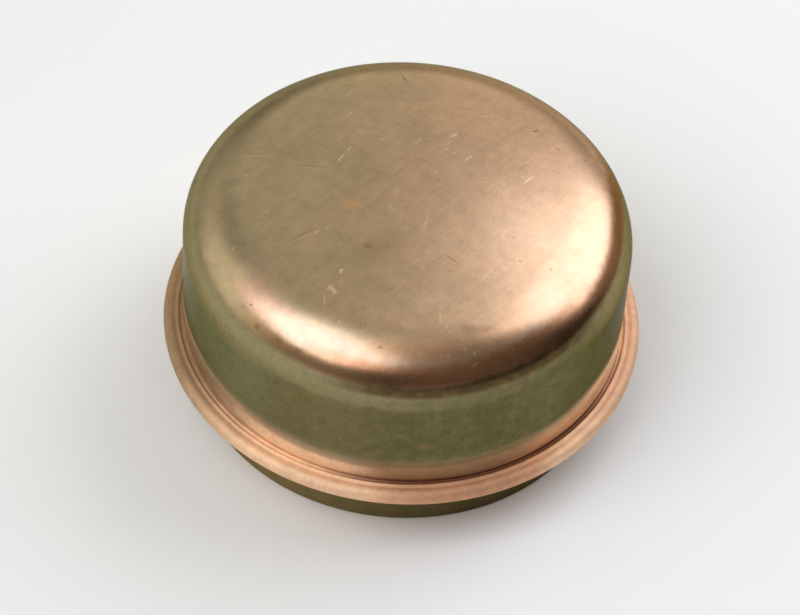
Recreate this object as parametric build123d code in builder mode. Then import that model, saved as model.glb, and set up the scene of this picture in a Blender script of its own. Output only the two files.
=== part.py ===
from build123d import *
import os
from math import radians, sin

# Hub grease cap: a cup drawn from one steel sheet. The sheet runs from the domed crown down the wall, is
# folded flat on itself to make the flange, and goes on down as the skirt that is pressed into the hub.
# The origin is on the axis at the open rim, with the crown up. Lengths are in millimetres.

# Driving dimensions
sheet = 0.91  # thickness of the steel
skirt_diameter = 50.44  # outside of the skirt, which is pressed into the hub's bore
skirt_length = 7.2  # from the open rim up to the underside of the flange
rim_radius = 0.4  # rounded outer edge of the rim, which leads the skirt into the bore
rim_break = 0.15  # inner edge of the rim, broken so that it is not sharp
neck_radius = 0.5  # outer corner between the flange's underside and the skirt
wall_step = 1.66  # how far the drawn wall stands outside the skirt
flange_width = 2.32  # how far the flange stands out from the wall
fold_gap = 0.2  # hairline that is left between the two layers of the flange
foot_radius = 0.4  # outer corner between the wall and the flange's top
shoulder_radius = 5.5  # outside radius of the shoulder's lower part, which runs into the wall
brow_radius = 9.2  # outside radius of its upper part, which runs into the crown
shoulder_split = 45.0  # degrees of slope where the one passes into the other
crown_height = 21.56  # from the flange's top to the middle of the crown
crown_lean = 6.5  # degrees that the domed crown leans where it meets the shoulder
ridge_width = 0.6  # raised line that the flattening die leaves around the foot of the wall
ridge_height = 0.18
ridge_crest = 0.12  # how far the crest stands from the ridge's inner edge
groove_radius = 0.3  # round bottom of the shallow groove outside the ridge
groove_depth = 0.1

# Sizes that follow from them
skirt_outer = skirt_diameter / 2
wall_outer = skirt_outer + wall_step
flange_thickness = 2 * sheet + fold_gap
fold_radius = flange_thickness / 2
fold_centre = wall_outer + flange_width - fold_radius
flange_underside = skirt_length
flange_top = flange_underside + flange_thickness
crown_top = flange_top + crown_height
shoulder_reach = shoulder_radius * (1 - sin(radians(shoulder_split)))
brow_reach = brow_radius * (sin(radians(shoulder_split)) - sin(radians(crown_lean)))
crown_edge = wall_outer - shoulder_reach - brow_reach
crown_radius = crown_edge / sin(radians(crown_lean))
ridge_inner = wall_outer + foot_radius
ridge_outer = ridge_inner + ridge_width

with BuildPart() as grease_cap:
    # The outer face of the sheet, from the middle of the crown to the rim, given its thickness inwards
    with BuildSketch(Plane.XZ):
        with BuildLine():
            crown = JernArc((0, crown_top), (1, 0), crown_radius, -crown_lean)
            brow = JernArc(crown @ 1, crown % 1, brow_radius, crown_lean - shoulder_split)
            shoulder = JernArc(brow @ 1, brow % 1, shoulder_radius, shoulder_split - 90)
            wall = Line(shoulder @ 1, (wall_outer, flange_top + foot_radius))
            foot = JernArc(wall @ 1, wall % 1, foot_radius, 90)
            upper_layer = Line(foot @ 1, (fold_centre, flange_top))
            fold = JernArc(upper_layer @ 1, upper_layer % 1, fold_radius, -180)
            lower_layer = Line(fold @ 1, (skirt_outer + neck_radius, flange_underside))
            neck = JernArc(lower_layer @ 1, lower_layer % 1, neck_radius, 90)
            Line(neck @ 1, (skirt_outer, 0))
            offset(amount=sheet, side=Side.RIGHT)
        make_face()
    revolve(axis=Axis.Z)

    # The raised line around the foot of the wall, with its steep side towards the wall
    with BuildSketch(Plane.XZ):
        with BuildLine():
            Polyline(
                (ridge_inner, flange_top),
                (ridge_inner + ridge_crest, flange_top + ridge_height),
                (ridge_outer, flange_top),
                close=True,
            )
        make_face()
    revolve(axis=Axis.Z)

    # The groove between that line and the rounded edge of the flange
    with BuildSketch(Plane.XZ):
        with Locations((ridge_outer, flange_top - groove_depth + groove_radius)):
            Circle(groove_radius)
    revolve(axis=Axis.Z, mode=Mode.SUBTRACT)

    # The cut rim: rounded outside, and broken inside
    rim_edges = grease_cap.edges().group_by(Axis.Z)[0].sort_by(SortBy.RADIUS)
    fillet(rim_edges[-1], rim_radius)
    rim_edges = grease_cap.edges().group_by(Axis.Z)[0].sort_by(SortBy.RADIUS)
    chamfer(rim_edges[0], rim_break)

grease_cap.part.label = "grease_cap"
os.makedirs("parts", exist_ok=True)
export_step(grease_cap.part, "parts/grease_cap.step")
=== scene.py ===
import math
import bpy
from mathutils import Matrix, Vector


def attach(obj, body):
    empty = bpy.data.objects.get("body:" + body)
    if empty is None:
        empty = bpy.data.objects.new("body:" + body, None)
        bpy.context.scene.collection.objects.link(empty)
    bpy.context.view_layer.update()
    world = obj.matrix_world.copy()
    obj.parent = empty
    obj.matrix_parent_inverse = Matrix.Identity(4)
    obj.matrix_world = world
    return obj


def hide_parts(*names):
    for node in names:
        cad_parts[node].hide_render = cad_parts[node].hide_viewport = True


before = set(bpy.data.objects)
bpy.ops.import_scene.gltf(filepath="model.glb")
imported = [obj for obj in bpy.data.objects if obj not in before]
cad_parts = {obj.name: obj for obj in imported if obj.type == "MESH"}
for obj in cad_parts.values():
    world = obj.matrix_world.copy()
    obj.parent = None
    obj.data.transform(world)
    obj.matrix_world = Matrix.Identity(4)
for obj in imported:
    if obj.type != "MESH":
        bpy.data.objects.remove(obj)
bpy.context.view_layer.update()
mm = 0.001


def toLinear(hexColour):
    # sRGB hex to the linear numbers that the sockets take
    parts = [int(hexColour[i:i + 2], 16) / 255 for i in (1, 3, 5)]
    linear = [part / 12.92 if part <= 0.04045 else ((part + 0.055) / 1.055) ** 2.4 for part in parts]
    return (*linear, 1.0)


def addNode(tree, kind, inputs=None, **settings):
    # a node with its settings, each input either a value or a socket to link
    node = tree.nodes.new(kind)
    for name, value in settings.items():
        setattr(node, name, value)
    for key, value in (inputs or {}).items():
        if isinstance(value, bpy.types.NodeSocket):
            tree.links.new(value, node.inputs[key])
        else:
            node.inputs[key].default_value = value
    return node


def newMaterial(name):
    material = bpy.data.materials.new(name)
    material.use_nodes = True
    material.node_tree.nodes.clear()
    return material, material.node_tree


# Camera at the photograph's angle, aimed just off the flange's centre
cameraPlace = {
    "aim": (-0.302, 0.247, 9.441),  # mm
    "elevation": 48.19,  # degrees
    "roll": 4.187,
    "distance": 407.4,  # mm
    "lens": 149.62,
    "sensor": 36.0,
    "clip": (0.01, 20.0),  # m
}


def placeCamera(place):
    data = bpy.data.cameras.new("camera")
    data.lens = place["lens"]
    data.sensor_width = place["sensor"]
    data.sensor_fit = "HORIZONTAL"
    data.clip_start, data.clip_end = place["clip"]
    camera = bpy.data.objects.new("camera", data)
    bpy.context.collection.objects.link(camera)
    tilt, roll = math.radians(place["elevation"]), math.radians(place["roll"])
    back = Vector((0.0, -math.cos(tilt), math.sin(tilt)))
    turn = Matrix.Rotation(math.pi / 2 - tilt, 3, "X") @ Matrix.Rotation(roll, 3, "Z")
    spot = (Vector(place["aim"]) + back * place["distance"]) * mm
    camera.matrix_world = Matrix.Translation(spot) @ turn.to_4x4()
    bpy.context.scene.camera = camera


placeCamera(cameraPlace)
bpy.context.scene.view_settings.view_transform = "Standard"
print("camera placed")


# Two softboxes, a dim room that is darkest at the front right, and a pale floor
studio = {
    "leftBox": {"azimuth": -44.5, "elevation": 53.0, "distance": 0.5, "size": (0.41, 0.335), "roll": -28.0,
                "glow": 2.6, "colour": "#F0F6FF"},
    "rightBox": {"azimuth": 122.3, "elevation": 44.5, "distance": 0.5, "size": (0.455, 0.42), "roll": -15.0,
                 "glow": 2.3, "colour": "#F6FAFF"},
    "roomColour": "#FFF6E2",
    # paler parts of the dim room: azimuth, elevation, reach in degrees, glow
    "room": {
        "leftWindow": (-86, 26, 38, 1.0),
        "frontLeft": (-45, 15, 38, 0.48),
        "front": (0, 30, 38, 0.10),
        "frontRight": (50, 35, 38, 0.11),
        "backLeft": (-132, 10, 34, 0.44),
        "back": (180, 12, 26, 0.50),
        "backRight": (135, 10, 38, 0.48),
        "backCeiling": (180, 38, 34, 0.52),
        "leftBackCeiling": (-132, 40, 36, 0.27),
        "leftCeiling": (-90, 75, 38, 0.44),
        "ceiling": (30, 75, 38, 0.15),
        "ceilingLamp": (160, 65, 15, 0.47),
    },
    "floorColour": "#F9FAFC",
    "floorWidth": 6.0,  # m
}


def towards(azimuth, elevation):
    # unit vector, azimuth from the camera's side, positive to its right
    turn, rise = math.radians(azimuth), math.radians(elevation)
    return Vector((math.sin(turn) * math.cos(rise), -math.cos(turn) * math.cos(rise), math.sin(rise)))


def addSoftbox(name, box):
    data = bpy.data.lights.new(name, "AREA")
    data.shape = "RECTANGLE"
    data.size, data.size_y = box["size"]
    data.color = toLinear(box["colour"])[:3]
    data.energy = box["glow"] * math.pi * data.size * data.size_y  # the same glow at any size
    lamp = bpy.data.objects.new(name, data)
    bpy.context.collection.objects.link(lamp)
    outward = towards(box["azimuth"], box["elevation"])
    turn = outward.to_track_quat("Z", "Y").to_matrix() @ Matrix.Rotation(math.radians(box["roll"]), 3, "Z")
    lamp.matrix_world = Matrix.Translation(outward * box["distance"]) @ turn.to_4x4()


def buildStudio(plan):
    addSoftbox("leftSoftbox", plan["leftBox"])
    addSoftbox("rightSoftbox", plan["rightBox"])
    world = bpy.data.worlds.new("dimRoom")
    world.use_nodes = True
    tree = world.node_tree
    tree.nodes.clear()
    way = addNode(tree, "ShaderNodeTexCoord").outputs["Generated"]
    strength = 0.0
    for azimuth, elevation, reach, glow in plan["room"].values():
        facing = addNode(tree, "ShaderNodeVectorMath", {0: way, 1: towards(azimuth, elevation)},
                         operation="DOT_PRODUCT").outputs["Value"]
        patch = addNode(tree, "ShaderNodeMapRange",
                        {"Value": facing, "From Min": math.cos(math.radians(reach)), "From Max": 1.0,
                         "To Max": glow}, interpolation_type="SMOOTHSTEP").outputs[0]
        strength = addNode(tree, "ShaderNodeMath", {0: strength, 1: patch}, operation="ADD").outputs[0]
    sky = addNode(tree, "ShaderNodeBackground", {"Strength": strength, "Color": toLinear(plan["roomColour"])})
    addNode(tree, "ShaderNodeOutputWorld", {"Surface": sky.outputs[0]})
    bpy.context.scene.world = world

    half = plan["floorWidth"] / 2
    mesh = bpy.data.meshes.new("floor")
    corners = [(-half, -half, 0), (half, -half, 0), (half, half, 0), (-half, half, 0)]
    mesh.from_pydata(corners, [], [(0, 1, 2, 3)])
    floor = bpy.data.objects.new("floor", mesh)
    bpy.context.collection.objects.link(floor)
    # paper that gives no shine, only a pale ground and soft shadows
    paper, tree = newMaterial("matt studio paper")
    surface = addNode(tree, "ShaderNodeBsdfPrincipled",
                      {"Base Color": toLinear(plan["floorColour"]), "Roughness": 1.0,
                       "Specular IOR Level": 0.0})
    addNode(tree, "ShaderNodeOutputMaterial", {"Surface": surface.outputs[0]})
    mesh.materials.append(paper)


buildStudio(studio)
print("studio built")


# The cap's section as drawn sheet, in mm
capShape = {
    "sheet": 0.91,
    "skirtRadius": 25.22,
    "skirtLength": 7.2,
    "rimRadius": 0.4,
    "rimBreak": 0.15,
    "rimBend": 0.05,  # softens the two edges of that break
    "neckRadius": 0.5,
    "wallRadius": 26.88,
    "foldReach": 29.2,
    "foldGap": 0.2,
    "footRadius": 0.4,
    "creaseFloor": 9.12,  # the dark crease between the wall and the ridge
    "creaseRadius": 0.2,
    "browRadius": 9.2,  # upper part of the shoulder
    "shoulderRadius": 5.5,  # lower part, into the wall
    "shoulderSplit": 45.0,  # degrees of slope between the two
    "crownTop": 30.78,
    "crownLean": 6.5,  # degrees where the crown meets the shoulder
    "crownSteps": 20,
    # corners from the crease over the ridge to the fold: radius, height, bend
    "ridge": [(27.16, 9.12, 0.12), (27.42, 9.36, 0.14), (27.80, 9.18, 0.30), (28.14, 9.21, 0.25)],
    "segments": 336,
    "runStep": 1.1,
    "runEdge": 0.08,  # a close point at each end of a run keeps the shading of the bends off it
    "runShort": 0.25,  # runs below this get no points of their own
    "arcStep": 7.0,  # degrees
    "waveHeight": 0.05,
    "waveSize": 14.0,
    "waveSeed": 4.0,
    "wavePull": (-34.0, -34.0, -33.0),  # per metre, about 1 at the outside and at the top
    "mergeReach": 0.002,
}


def bentLine(corners, shape):
    # straight runs with a bend of the given radius at each corner
    runStep, runEdge = shape["runStep"], shape["runEdge"]
    bends = [[corners[0][:2]]]
    for before, corner, after in zip(corners, corners[1:], corners[2:]):
        here, radius = Vector(corner[:2]), corner[2]
        into, out = (here - Vector(before[:2])).normalized(), (Vector(after[:2]) - here).normalized()
        turn = into.angle_signed(out)  # clockwise is positive
        reach = radius * math.tan(abs(turn) / 2)
        start = here - into * reach
        side = Vector((into.y, -into.x)) * (radius if turn > 0 else -radius)
        byAngle = math.ceil(abs(math.degrees(turn)) / shape["arcStep"])
        steps = max(3, byAngle, math.ceil(abs(turn) * radius / runStep))
        spins = [Matrix.Rotation(-turn * i / steps, 2) for i in range(steps + 1)]
        bends.append([tuple(start + side - spin @ side) for spin in spins])
    bends.append([corners[-1][:2]])
    line = list(bends[0])
    for bend in bends[1:]:
        start, end = Vector(line[-1]), Vector(bend[0])
        run = (end - start).length
        if run > shape["runShort"]:
            edge = min(runEdge, run / 4)
            count = max(1, math.ceil((run - 2 * edge) / runStep))
            for i in range(count + 1):
                line.append(tuple(start.lerp(end, (edge + (run - 2 * edge) * i / count) / run)))
        line += bend if run > 1e-6 else bend[1:]  # bends that touch share a point
    return line


def capSection(shape):
    # the sheet's whole outline, from the top of the crown down the outer skin and back up the inner one
    sheet, wall, skirt = shape["sheet"], shape["wallRadius"], shape["skirtRadius"]
    under = shape["skirtLength"]
    over = under + 2 * sheet + shape["foldGap"]
    lean, split = math.radians(shape["crownLean"]), math.radians(shape["shoulderSplit"])
    foldRadius = (over - under) / 2
    gapEnd = shape["foldReach"] - sheet

    def crownLine(depth):
        # dome and shoulder corners of the skin that lies this deep in the sheet
        brow, shoulder = shape["browRadius"] - depth, shape["shoulderRadius"] - depth
        edge = wall - depth - shoulder * (1 - math.sin(split)) - brow * (math.sin(split) - math.sin(lean))
        dome = edge / math.sin(lean)
        top = shape["crownTop"] - depth
        slopes = [lean * i / shape["crownSteps"] for i in range(shape["crownSteps"] + 1)]
        line = [(dome * math.sin(slope), top - dome * (1 - math.cos(slope))) for slope in slopes]
        reach = brow * math.tan((split - lean) / 2)
        upper = (edge + reach * math.cos(lean), line[-1][1] - reach * math.sin(lean), brow)
        lower = (wall - depth, upper[1] - (wall - depth - upper[0]) * math.tan(split), shoulder)
        return line, [upper, lower]

    outerCrown, outerShoulder = crownLine(0)
    innerCrown, innerShoulder = crownLine(sheet)
    crease = (wall, shape["creaseFloor"], shape["creaseRadius"])
    corners = [outerCrown[-1]] + outerShoulder + [crease] + shape["ridge"]
    corners += [
        (shape["foldReach"], over, foldRadius),
        (shape["foldReach"], under, foldRadius),
        (skirt, under, shape["neckRadius"]),
        (skirt, 0, shape["rimRadius"]),
        (skirt - sheet + shape["rimBreak"], 0, shape["rimBend"]),
        (skirt - sheet, shape["rimBreak"], shape["rimBend"]),
        (skirt - sheet, under + sheet, shape["neckRadius"] + sheet),
        (gapEnd, under + sheet, shape["foldGap"] / 2),
        (gapEnd, over - sheet, shape["foldGap"] / 2),
        (wall - sheet, over - sheet, shape["footRadius"] + sheet),
    ]
    corners += innerShoulder[::-1] + [innerCrown[-1]]
    return outerCrown[:-1] + bentLine(corners, shape) + innerCrown[-2::-1]


def latheTree(shape):
    # turns a section line about Z, with the slight waviness of drawn sheet
    tree = bpy.data.node_groups.new("capLathe", "GeometryNodeTree")
    tree.interface.new_socket("Geometry", in_out="OUTPUT", socket_type="NodeSocketGeometry")
    tree.interface.new_socket("Section", in_out="INPUT", socket_type="NodeSocketGeometry")
    for name, kind in (("Segments", "NodeSocketInt"), ("Wave Height", "NodeSocketFloat"),
                       ("Wave Size", "NodeSocketFloat"), ("Wave Seed", "NodeSocketFloat"),
                       ("Finish", "NodeSocketMaterial")):
        tree.interface.new_socket(name, in_out="INPUT", socket_type=kind)
    given = addNode(tree, "NodeGroupInput").outputs
    count = addNode(tree, "GeometryNodeAttributeDomainSize", {"Geometry": given["Section"]}, component="MESH")
    rows = addNode(tree, "ShaderNodeMath", {0: given["Segments"], 1: 1.0}, operation="ADD").outputs[0]
    grid = addNode(tree, "GeometryNodeMeshGrid",
                   {"Vertices X": count.outputs["Point Count"], "Vertices Y": rows}).outputs["Mesh"]
    index = addNode(tree, "GeometryNodeInputIndex").outputs[0]
    place = addNode(tree, "ShaderNodeMath", {0: index, 1: rows}, operation="DIVIDE").outputs[0]
    station = addNode(tree, "ShaderNodeMath", {0: place}, operation="FLOOR").outputs[0]
    step = addNode(tree, "ShaderNodeMath", {0: index, 1: rows}, operation="MODULO").outputs[0]
    angle = addNode(tree, "ShaderNodeMath", {0: step, 1: given["Segments"]}, operation="DIVIDE").outputs[0]
    angle = addNode(tree, "ShaderNodeMath", {0: angle, 1: 2 * math.pi}, operation="MULTIPLY").outputs[0]
    spot = addNode(tree, "GeometryNodeInputPosition").outputs[0]
    point = addNode(tree, "GeometryNodeSampleIndex",
                    {"Geometry": given["Section"], "Value": spot, "Index": station}, data_type="FLOAT_VECTOR")
    turned = addNode(tree, "ShaderNodeVectorRotate", {"Vector": point.outputs[0], "Angle": angle},
                     rotation_type="Z_AXIS").outputs[0]
    shell = addNode(tree, "GeometryNodeSetPosition", {"Geometry": grid, "Position": turned}).outputs[0]
    shell = addNode(tree, "GeometryNodeMergeByDistance",
                    {"Geometry": shell, "Distance": shape["mergeReach"] * mm}).outputs[0]
    # waves only pull inwards, and grow with height so that the rim stays flat
    grain = addNode(tree, "ShaderNodeMath", {0: 1.0, 1: given["Wave Size"]}, operation="DIVIDE").outputs[0]
    wave = addNode(tree, "ShaderNodeTexNoise",
                   {"Vector": spot, "W": given["Wave Seed"], "Scale": grain, "Detail": 1.0},
                   noise_dimensions="4D").outputs[0]
    pull = addNode(tree, "ShaderNodeMath", {0: wave, 1: given["Wave Height"]},
                   operation="MULTIPLY").outputs[0]
    inward = addNode(tree, "ShaderNodeVectorMath", {0: spot, 1: shape["wavePull"]},
                     operation="MULTIPLY").outputs[0]
    shift = addNode(tree, "ShaderNodeVectorMath", {0: inward, "Scale": pull}, operation="SCALE").outputs[0]
    shell = addNode(tree, "GeometryNodeSetPosition", {"Geometry": shell, "Offset": shift}).outputs[0]
    shell = addNode(tree, "GeometryNodeSetShadeSmooth", {"Geometry": shell}).outputs[0]
    shell = addNode(tree, "GeometryNodeRealizeInstances", {"Geometry": shell}).outputs[0]
    shell = addNode(tree, "GeometryNodeSetMaterial",
                    {"Geometry": shell, "Material": given["Finish"]}).outputs[0]
    addNode(tree, "NodeGroupOutput", {0: shell})
    return tree


# Zinc plate with a thin yellow chromate over drawn steel, from a press. It is a soft satin metal: warm gold
# where it shows the lights, coppery on the flange that the folding rubbed, with fine draw lines up the side
# and the scratches of a bin of loose parts.
# The dark olive of the wall and lower shoulder is painted reflection of dark green surroundings, and the pale
# band at the foot of the wall is a painted reflection of the flange.
capFinish = {
    # colours from the skirt up, a pair being the left and the right of the cap with one side painted lighter
    # than the other;
    # the wall and olive colours are painted dark reflection, the crease and foot colours a painted reflection
    # of the flange, and the skirt's dark colour painted shade under the flange
    "platingAndPaintedReflection": {
        "skirt": ("#93855E", "#645B3D"),
        "flange": "#FBD9B9",
        "crease": "#E0C6AB",
        "foot": "#D3B193",
        "wall": ("#8A8866", "#716E50"),
        "olive": ("#9C916B", "#706A4A"),
        "gold": ("#BAAA8B", "#DAB599"),
    },
    # heights in mm over which one colour passes into the next, and how those heights run around the cap
    "zones": {
        "flange": ("plain", 6.6, 7.1),
        "crease": ("plain", 9.28, 9.5),
        "foot": ("raised", 10.2, 10.7),
        "wall": ("raised", 10.9, 13.1),
        "olive": ("wandering", 20.9, 22.7),
        "gold": ("raisedWandering", 24.6, 26.0),
    },
    "sideRise": 1.3,  # mm that raised heights lie higher at the left and right
    "wander": {"cloud": 0.6, "mottle": 0.3},  # mm that wandering heights run up and down
    # the left tone and the right one paint one side of the cap lighter than the other
    "sides": (-20.0, 18.0),  # mm across, from the left tone to the right one
    "sideDrift": 20.0,  # mm that this passage wanders
    # painted light and shade as local tones: colour, heights' run, azimuth of the middle, cosines of the
    # edges, heights of the edges
    "paintedLightTones": {
        # peach is a painted tint around the left highlight; the brown tones and the two dark bands below them
        # are painted reflection of a dark room; the rest paint the wall, foot and flange lighter or darker by
        # side, the pale foot tones as painted reflection of the flange
        "peach": ("#CBA892", "raisedWandering", -28, 0.86, 0.97, 26.3, 27.0, 28.2, 28.9),
        "brown": ("#C5906B", "raisedWandering", 18, 0.66, 0.92, 25.0, 25.8, 27.0, 27.9),
        "frontBrown": ("#DAAE8A", "raisedWandering", 16, 0.86, 0.97, 27.4, 28.2, 28.6, 29.3),
        "rimBrown": ("#976D50", "raisedWandering", 75, 0.65, 0.93, 24.7, 25.5, 26.3, 27.1),
        "darkBandShade": ("#58482F", "raisedWandering", 22, 0.72, 0.93, 23.8, 24.6, 25.3, 25.9),
        "darkLineShade": ("#917456", "raisedWandering", -21, 0.86, 0.985, 24.9, 25.9, 26.3, 27.0),
        "paleSide": ("#958762", "raisedWandering", 86, 0.80, 0.96, 21.5, 23.0, 25.1, 25.7),
        "wallWarm": ("#7C734E", "raisedWandering", -14, 0.90, 0.985, 12.0, 14.0, 21.5, 22.6),
        "wallShade": ("#67633F", "raisedWandering", 14, 0.88, 0.985, 11.2, 14.6, 21.5, 22.6),
        "footDim": ("#977C5C", "raised", -84, 0.64, 0.96, 8.5, 8.9, 11.0, 12.4),
        "footRight": ("#FFD9B4", "raised", 80, 0.85, 0.97, 8.6, 9.4, 10.6, 13.8),
        "footDusk": ("#8E7955", "raised", 15, 0.88, 0.98, 10.9, 11.7, 12.2, 13.2),
        "footWarm": ("#E3B48B", "raised", 50, 0.88, 0.97, 8.4, 8.8, 10.4, 11.8),
        "footShine": ("#FFE0C0", "raised", -15, 0.84, 0.985, 9.2, 9.55, 10.8, 11.6),
        "footShade": ("#B6936F", "raised", 15, 0.88, 0.98, 9.3, 9.6, 11.2, 12.2),
        "flangeDim": ("#B69B7D", "plain", -95, 0.45, 0.94, 6.6, 7.1, 9.3, 9.6),
        "flangeShade": ("#E1B18F", "plain", 18, 0.90, 0.985, 6.6, 7.1, 9.3, 9.6),
        "flangeRight": ("#E6BFA2", "plain", 92, 0.66, 0.95, 6.6, 7.1, 9.3, 9.6),
    },
    # painted shade in the crease at the foot of the wall: each pair runs from where it is unshaded to where
    # it is full
    "creaseShade": {
        "colour": "#8E6348",
        "azimuth": 30,
        "facing": (0.6, 0.9),
        "radius": (27.34, 27.2),
        "top": (9.75, 9.45),
        "bottom": (8.8, 8.9),
    },
    # brown stain on the wall: the mottle it starts at, the mottle it is full at, and its share there
    "stain": {"colour": "#866849", "start": 0.5, "full": 0.72, "share": 0.35},
    # what a glancing look still sees of its surroundings
    "edgeTint": {
        "flange": (1.0, 0.78, 0.55, 1.0),
        "wall": (0.47, 0.46, 0.37, 1.0),
        "gold": (0.34, 0.33, 0.25, 1.0),
    },
    "smooth": 0.28,  # roughness of the crown and wall
    "rubbed": 0.70,  # roughness of the flange
    "roughGrain": 0.06,  # how far the grain changes either
    "sizes": {"cloud": 8.0, "mottle": 1.5, "grain": 0.34},  # mm
    "patchDetail": 3.0,
    "patchRoughness": 0.6,
    "lineDetail": 2.0,
    "drawLine": (0.32, 16.0),  # mm across and along
    "brush": (0.30, 7.0, 52.0),  # the same, and the angle on the crown
    "unevenness": {"cloud": 0.24, "mottle": 0.38, "grain": 0.12, "brush": 0.22, "drawLine": 0.08},
    "wallGain": 0.6,  # how much stronger the unevenness is on the wall
    "relief": {"drawLine": 0.5, "mottle": 0.8, "scratches": -0.5},
    "reliefStrength": 0.3,
    "reliefDepth": 0.014,  # mm
    # marks, and pale patches of painted sheen, on the crown, in the order they are laid on: colour, and the
    # pattern that breaks them up
    "markTones": {
        "paintedSheens": ("#E3C8AE", "mottle"),
        "smears": ("#8A6E55", "mottle"),
        "rustSpots": ("#DBB287", "mottle"),
        "smudges": ("#745A42", "mottle"),
        "scratches": ("#EDD3B6", "grain"),
    },
    "markRange": (0.04, 0.5),  # strength where a mark starts to show, and where it is full
    "markDepth": (0.5, 0.2),  # mm that a mark reaches up and down, and the part of its half length added
    # each mark: place in mm, half length, half width, angle, strength
    "scratches": [
        (-8.6, 4.5, 0.9, 0.15, 62, 1.8), (-7.7, 6.1, 0.6, 0.15, 64, 1.5), (2.0, -5.0, 2.6, 0.11, 80, 1.1),
        (6.5, 5.9, 0.9, 0.16, 52, 2.4), (13.8, 3.4, 1.3, 0.15, 54, 2.1), (13.0, 3.8, 0.4, 0.20, 50, 1.0),
        (4.6, 9.7, 0.9, 0.40, 36, 1.4), (4.0, 8.1, 0.8, 0.15, 52, 0.9), (3.8, 7.1, 0.4, 0.25, 40, 1.3),
        (4.8, 6.6, 0.4, 0.25, 40, 1.3), (8.3, 13.7, 1.0, 0.25, 12, 0.8), (9.7, 18.5, 0.6, 0.25, 20, 0.7),
        (0.5, 8.3, 1.1, 0.14, 58, 1.0), (-3.9, 8.1, 1.0, 0.13, 25, 1.1), (-2.3, -3.2, 0.7, 0.12, 94, 1.0),
        (-10.6, -7.6, 0.8, 0.18, 43, 0.9), (-9.5, -7.0, 0.4, 0.16, 60, 1.0),
        (-7.4, -13.3, 0.40, 0.24, 105, 4.0), (-8.2, -15.9, 0.75, 0.32, 130, 2.2),
        (-9.0, -17.5, 1.0, 0.14, 95, 1.3), (-8.2, 16.4, 2.4, 0.20, 53, 0.6),
        (-8.0, 12.4, 0.9, 0.14, 62, 0.8), (4.4, -18.9, 1.0, 0.13, 93, 1.4),
        (5.2, -20.1, 0.6, 0.13, 95, 1.2), (5.6, -20.6, 0.3, 0.16, 90, 1.2),
        (6.8, -11.1, 2.2, 0.12, 80, 0.5), (7.4, -22.3, 0.3, 0.20, 80, 2.0),
        (8.5, -22.5, 0.4, 0.20, 80, 2.0), (5.6, -23.2, 0.3, 0.14, 85, 1.6),
        (8.7, -23.5, 0.8, 0.13, 40, 1.3), (-19.7, 1.3, 0.4, 0.16, 40, 0.9),
        (-20.1, -10.0, 0.6, 0.14, 50, 1.1), (-16.5, -4.5, 0.3, 0.14, 50, 0.8),
        (-7.1, -20.3, 0.25, 0.18, 80, 1.2), (-4.4, -20.2, 0.25, 0.16, 80, 1.1),
        (-0.3, -6.3, 0.5, 0.13, 57, 1.0), (-18.8, 4.5, 5.0, 0.16, -1, 0.5),
        (-12.0, -8.3, 3.0, 0.16, 35, 0.5), (-7.2, -13.1, 0.3, 0.15, 40, 2.4),
        (-8.6, -15.7, 0.5, 0.20, 60, 1.6), (-7.8, -16.4, 0.4, 0.22, 20, 1.4),
    ],
    "smudges": [
        (-12.1, -7.9, 3.8, 0.18, 35, 0.5), (5.5, -10.5, 2.2, 0.14, -32, 0.6),
        (12.4, -6.1, 0.3, 0.20, 30, 0.6), (13.2, -9.6, 0.3, 0.16, -60, 0.7),
        (16.8, -10.2, 0.6, 0.24, -66, 0.5), (14.5, 12.1, 0.6, 0.30, 30, 0.8),
        (17.2, 9.4, 0.5, 0.18, -40, 0.7), (20.6, 8.4, 0.4, 0.14, 70, 0.7), (11.5, 6.5, 0.6, 0.18, -60, 0.5),
        (-4.5, -9.3, 0.9, 0.70, 20, 0.5), (7.6, -19.9, 1.6, 0.90, -5, 0.45),
        (9.8, -19.6, 1.6, 0.70, 15, 0.4), (-2.2, -23.1, 0.6, 0.25, 15, 0.8),
        (-1.8, 19.5, 1.8, 0.18, -63, 0.6), (-17.4, -17.3, 0.3, 0.18, 0, 0.8),
        (-12.1, 3.0, 3.6, 0.14, -6, 0.5), (-16.5, -19.6, 0.7, 0.40, -40, 0.8),
        (-13.9, -21.5, 0.9, 0.35, -33, 0.8), (-11.6, -22.8, 0.6, 0.35, -27, 0.8),
        (-18.3, -17.2, 0.5, 0.30, -47, 0.6),
    ],
    "rustSpots": [
        (-6.7, -3.0, 1.5, 1.8, 20, 1.0), (-6.6, -5.2, 0.5, 1.6, 0, 0.6), (-0.6, 0.8, 0.5, 0.20, -20, 0.9),
    ],
    # pale patches painted on the crown as sheen beside the highlights
    "paintedSheens": [
        (12.5, -4.5, 6.0, 4.0, -20, 0.3), (2.5, -17.0, 6.0, 2.6, 4, 0.4),
    ],
    "smears": [
        (-3.0, -9.5, 6.5, 4.0, 30, 0.35),
    ],
}


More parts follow.
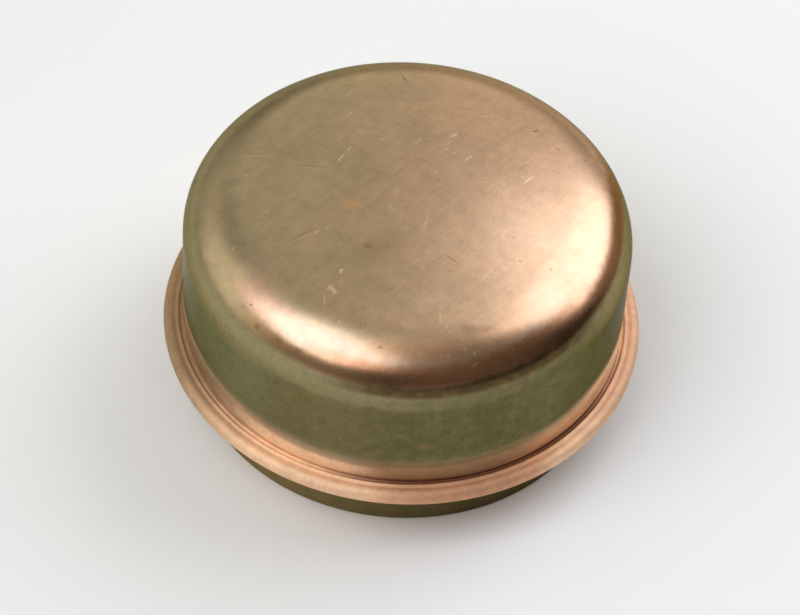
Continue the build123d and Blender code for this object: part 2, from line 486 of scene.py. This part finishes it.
def platedSteel(finish):
    # in a Mix node, sockets 2 and 3 are its two numbers, and 6 and 7 its two colours
    material, tree = newMaterial("yellow chromated zinc plate with painted reflections")
    raw = addNode(tree, "ShaderNodeTexCoord").outputs["Object"]
    spot = addNode(tree, "ShaderNodeVectorMath", {0: raw, "Scale": 1 / mm}, operation="SCALE").outputs[0]
    axes = addNode(tree, "ShaderNodeSeparateXYZ", {0: spot}).outputs
    flat = addNode(tree, "ShaderNodeCombineXYZ", {"X": axes["X"], "Y": axes["Y"]}).outputs[0]
    spoke = addNode(tree, "ShaderNodeVectorMath", {0: flat}, operation="NORMALIZE").outputs[0]

    # unevenness, from broad clouds in the film down to the grain of the plate
    noise = {}
    for name, size in finish["sizes"].items():
        noise[name] = addNode(tree, "ShaderNodeTexNoise",
                              {"Vector": spot, "Scale": 1 / size, "Detail": finish["patchDetail"],
                               "Roughness": finish["patchRoughness"]}).outputs[0]
    # draw lines run up the wall and over the shoulder
    across, along = finish["drawLine"]
    around = addNode(tree, "ShaderNodeVectorMath", {0: spoke, "Scale": capShape["wallRadius"]},
                     operation="SCALE").outputs[0]
    rise = addNode(tree, "ShaderNodeVectorMath", {0: spot, 1: (0, 0, across / along), 2: around},
                   operation="MULTIPLY_ADD").outputs[0]
    drawLines = addNode(tree, "ShaderNodeTexNoise",
                        {"Vector": rise, "Scale": 1 / across, "Detail": finish["lineDetail"]}).outputs[0]
    # faint brush lines cross the crown at a slant
    across, along, angle = finish["brush"]
    slant = addNode(tree, "ShaderNodeMapping",
                    {"Vector": spot, "Rotation": (0, 0, math.radians(angle)),
                     "Scale": (along / across, 1, 1)}, vector_type="TEXTURE").outputs[0]
    brushLines = addNode(tree, "ShaderNodeTexNoise",
                         {"Vector": slant, "Scale": 1 / across, "Detail": finish["lineDetail"]})
    noise["brush"] = brushLines.outputs[0]

    # heights that the colours change at, as they run around the cap
    wander = finish["wander"]
    wandering = addNode(tree, "ShaderNodeMath", {0: axes["Z"], 1: sum(wander.values()) / 2},
                        operation="SUBTRACT").outputs[0]
    for name, reach in wander.items():
        wandering = addNode(tree, "ShaderNodeMath", {0: noise[name], 1: reach, 2: wandering},
                            operation="MULTIPLY_ADD").outputs[0]
    spread = addNode(tree, "ShaderNodeSeparateXYZ", {0: spoke}).outputs["X"]
    spread = addNode(tree, "ShaderNodeMath", {0: spread, 1: spread}, operation="MULTIPLY").outputs[0]
    heights = {"plain": axes["Z"], "wandering": wandering}
    for name, height in (("raised", axes["Z"]), ("raisedWandering", wandering)):
        heights[name] = addNode(tree, "ShaderNodeMath", {0: spread, 1: -finish["sideRise"], 2: height},
                                operation="MULTIPLY_ADD").outputs[0]
    zones = {}
    for name, (run, low, high) in finish["zones"].items():
        zones[name] = addNode(tree, "ShaderNodeMapRange",
                              {"Value": heights[run], "From Min": low, "From Max": high},
                              interpolation_type="SMOOTHSTEP").outputs[0]
    # the crown was not drawn, so the lines end on the shoulder
    noise["drawLine"] = addNode(tree, "ShaderNodeMix", {0: zones["gold"], 2: drawLines, 3: 0.5},
                                data_type="FLOAT").outputs[0]

    # colours from the skirt up: the plating's tint, with painted reflection on the wall and foot and one side
    # painted lighter than the other
    drift = addNode(tree, "ShaderNodeMath", {0: noise["cloud"], 1: finish["sideDrift"], 2: axes["X"]},
                    operation="MULTIPLY_ADD").outputs[0]
    left, right = (edge + finish["sideDrift"] / 2 for edge in finish["sides"])
    side = addNode(tree, "ShaderNodeMapRange", {"Value": drift, "From Min": left, "From Max": right},
                   interpolation_type="SMOOTHSTEP").outputs[0]
    colour = None
    for name, tone in finish["platingAndPaintedReflection"].items():
        if isinstance(tone, tuple):
            tone = addNode(tree, "ShaderNodeMix", {0: side, 6: toLinear(tone[0]), 7: toLinear(tone[1])},
                           data_type="RGBA").outputs[2]
        else:
            tone = toLinear(tone)
        if name in zones:
            tone = addNode(tree, "ShaderNodeMix", {0: zones[name], 6: colour, 7: tone},
                           data_type="RGBA").outputs[2]
        colour = tone
    # painted light and shade in local tones, each fading out by direction and by height
    for tone, run, azimuth, edge, full, *band in finish["paintedLightTones"].values():
        facing = addNode(tree, "ShaderNodeVectorMath", {0: spoke, 1: towards(azimuth, 0)},
                         operation="DOT_PRODUCT").outputs["Value"]
        paintedMask = addNode(tree, "ShaderNodeMapRange", {"Value": facing, "From Min": edge, "From Max": full},
                        interpolation_type="SMOOTHSTEP").outputs[0]
        for outer, inner in (band[:2], band[:1:-1]):
            fade = addNode(tree, "ShaderNodeMapRange",
                           {"Value": heights[run], "From Min": outer, "From Max": inner},
                           interpolation_type="SMOOTHSTEP").outputs[0]
            paintedMask = addNode(tree, "ShaderNodeMath", {0: paintedMask, 1: fade}, operation="MULTIPLY").outputs[0]
        colour = addNode(tree, "ShaderNodeMix", {0: paintedMask, 6: colour, 7: toLinear(tone)},
                         data_type="RGBA").outputs[2]
    # painted shade in the crease, on the front right
    creaseShade = finish["creaseShade"]
    radius = addNode(tree, "ShaderNodeVectorMath", {0: flat}, operation="LENGTH").outputs["Value"]
    facing = addNode(tree, "ShaderNodeVectorMath", {0: spoke, 1: towards(creaseShade["azimuth"], 0)},
                     operation="DOT_PRODUCT").outputs["Value"]
    amount = 1.0
    for name, value in (("facing", facing), ("radius", radius), ("top", axes["Z"]), ("bottom", axes["Z"])):
        unshaded, full = creaseShade[name]
        fade = addNode(tree, "ShaderNodeMapRange", {"Value": value, "From Min": unshaded, "From Max": full})
        amount = addNode(tree, "ShaderNodeMath", {0: amount, 1: fade.outputs[0]},
                         operation="MULTIPLY").outputs[0]
    colour = addNode(tree, "ShaderNodeMix", {0: amount, 6: colour, 7: toLinear(creaseShade["colour"])},
                     data_type="RGBA").outputs[2]
    # brown stain in patches on the wall
    stain = finish["stain"]
    wallOnly = addNode(tree, "ShaderNodeMath", {0: zones["wall"], 1: zones["gold"]},
                       operation="SUBTRACT").outputs[0]
    amount = addNode(tree, "ShaderNodeMapRange",
                     {"Value": noise["mottle"], "From Min": stain["start"], "From Max": stain["full"],
                      "To Max": stain["share"]}).outputs[0]
    amount = addNode(tree, "ShaderNodeMath", {0: amount, 1: wallOnly}, operation="MULTIPLY").outputs[0]
    colour = addNode(tree, "ShaderNodeMix", {0: amount, 6: colour, 7: toLinear(stain["colour"])},
                     data_type="RGBA").outputs[2]
    # lighter and darker by the unevenness, more so on the wall
    shade = -sum(finish["unevenness"].values()) / 2
    for name, weight in finish["unevenness"].items():
        shade = addNode(tree, "ShaderNodeMath", {0: noise[name], 1: weight, 2: shade},
                        operation="MULTIPLY_ADD").outputs[0]
    gain = addNode(tree, "ShaderNodeMath", {0: wallOnly, 1: finish["wallGain"], 2: 1.0},
                   operation="MULTIPLY_ADD").outputs[0]
    shade = addNode(tree, "ShaderNodeMath", {0: shade, 1: gain, 2: 1.0}, operation="MULTIPLY_ADD").outputs[0]
    colour = addNode(tree, "ShaderNodeVectorMath", {0: colour, "Scale": shade}, operation="SCALE").outputs[0]

    # marks and painted sheen patches: each a long soft spot on the skin, broken up by a finer pattern
    skin = capSection(capShape)
    reach, more = finish["markDepth"]
    faint, full = finish["markRange"]
    patterns = dict(noise)
    for name, (tone, broken) in finish["markTones"].items():
        total = 0.0
        for x, y, half, width, angle, strength in finish[name]:
            spotRadius = math.hypot(x, y)
            inner, outer = next(pair for pair in zip(skin, skin[1:]) if pair[1][0] >= spotRadius)
            height = inner[1] + (outer[1] - inner[1]) * (spotRadius - inner[0]) / (outer[0] - inner[0])
            place = addNode(tree, "ShaderNodeMapping",
                            {"Vector": spot, "Location": (x, y, height),
                             "Rotation": (0, 0, math.radians(angle)),
                             "Scale": (half, width, reach + more * half)}, vector_type="TEXTURE").outputs[0]
            blob = addNode(tree, "ShaderNodeTexGradient", {"Vector": place},
                           gradient_type="SPHERICAL").outputs[1]
            total = addNode(tree, "ShaderNodeMath", {0: blob, 1: strength, 2: total},
                            operation="MULTIPLY_ADD").outputs[0]
        worn = addNode(tree, "ShaderNodeMath", {0: total, 1: noise[broken]}, operation="MULTIPLY").outputs[0]
        patterns[name] = addNode(tree, "ShaderNodeMapRange",
                                 {"Value": worn, "From Min": faint, "From Max": full}).outputs[0]
        colour = addNode(tree, "ShaderNodeMix", {0: patterns[name], 6: colour, 7: toLinear(tone)},
                         data_type="RGBA").outputs[2]

    rough = addNode(tree, "ShaderNodeMix", {0: zones["wall"], 2: finish["rubbed"], 3: finish["smooth"]},
                    data_type="FLOAT").outputs[0]
    rough = addNode(tree, "ShaderNodeMath", {0: noise["grain"], 1: finish["roughGrain"], 2: rough},
                    operation="MULTIPLY_ADD").outputs[0]
    rough = addNode(tree, "ShaderNodeMath", {0: rough, 1: finish["roughGrain"] / 2},
                    operation="SUBTRACT").outputs[0]
    # relief: soft unevenness, draw lines on the side, scratches cut in
    relief = 0.0
    for name, weight in finish["relief"].items():
        relief = addNode(tree, "ShaderNodeMath", {0: patterns[name], 1: weight, 2: relief},
                         operation="MULTIPLY_ADD").outputs[0]
    bump = addNode(tree, "ShaderNodeBump",
                   {"Height": relief, "Strength": finish["reliefStrength"],
                    "Distance": finish["reliefDepth"] * mm}).outputs[0]
    glance = finish["edgeTint"]["flange"]
    for name in ("wall", "gold"):
        glance = addNode(tree, "ShaderNodeMix", {0: zones[name], 6: glance, 7: finish["edgeTint"][name]},
                         data_type="RGBA").outputs[2]
    surface = addNode(tree, "ShaderNodeBsdfPrincipled",
                      {"Base Color": colour, "Metallic": 1.0, "Roughness": rough, "Specular Tint": glance,
                       "Normal": bump})
    addNode(tree, "ShaderNodeOutputMaterial", {"Surface": surface.outputs[0]})
    return material


def buildCap(shape, finish):
    section = [(radius * mm, 0.0, height * mm) for radius, height in capSection(shape)]
    mesh = bpy.data.meshes.new("section")
    mesh.from_pydata(section, [(i, i + 1) for i in range(len(section) - 1)], [])
    cap = bpy.data.objects.new("drawnCap", mesh)
    bpy.context.collection.objects.link(cap)
    lathe = cap.modifiers.new("lathe", "NODES")
    lathe.node_group = latheTree(shape)
    values = {"Segments": shape["segments"], "Wave Height": shape["waveHeight"] * mm,
              "Wave Size": shape["waveSize"] * mm, "Wave Seed": shape["waveSeed"], "Finish": finish}
    for item in lathe.node_group.interface.items_tree:
        if item.name in values:
            lathe[item.identifier] = values[item.name]
    turned = cap.evaluated_get(bpy.context.evaluated_depsgraph_get())
    cap.data = bpy.data.meshes.new_from_object(turned)
    cap.data.name = "drawnCap"
    cap.modifiers.clear()
    print("cap turned:", len(section), "section points,", len(cap.data.polygons), "faces")
    return cap


cap = buildCap(capShape, platedSteel(capFinish))
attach(cap, "root")
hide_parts("grease_cap")
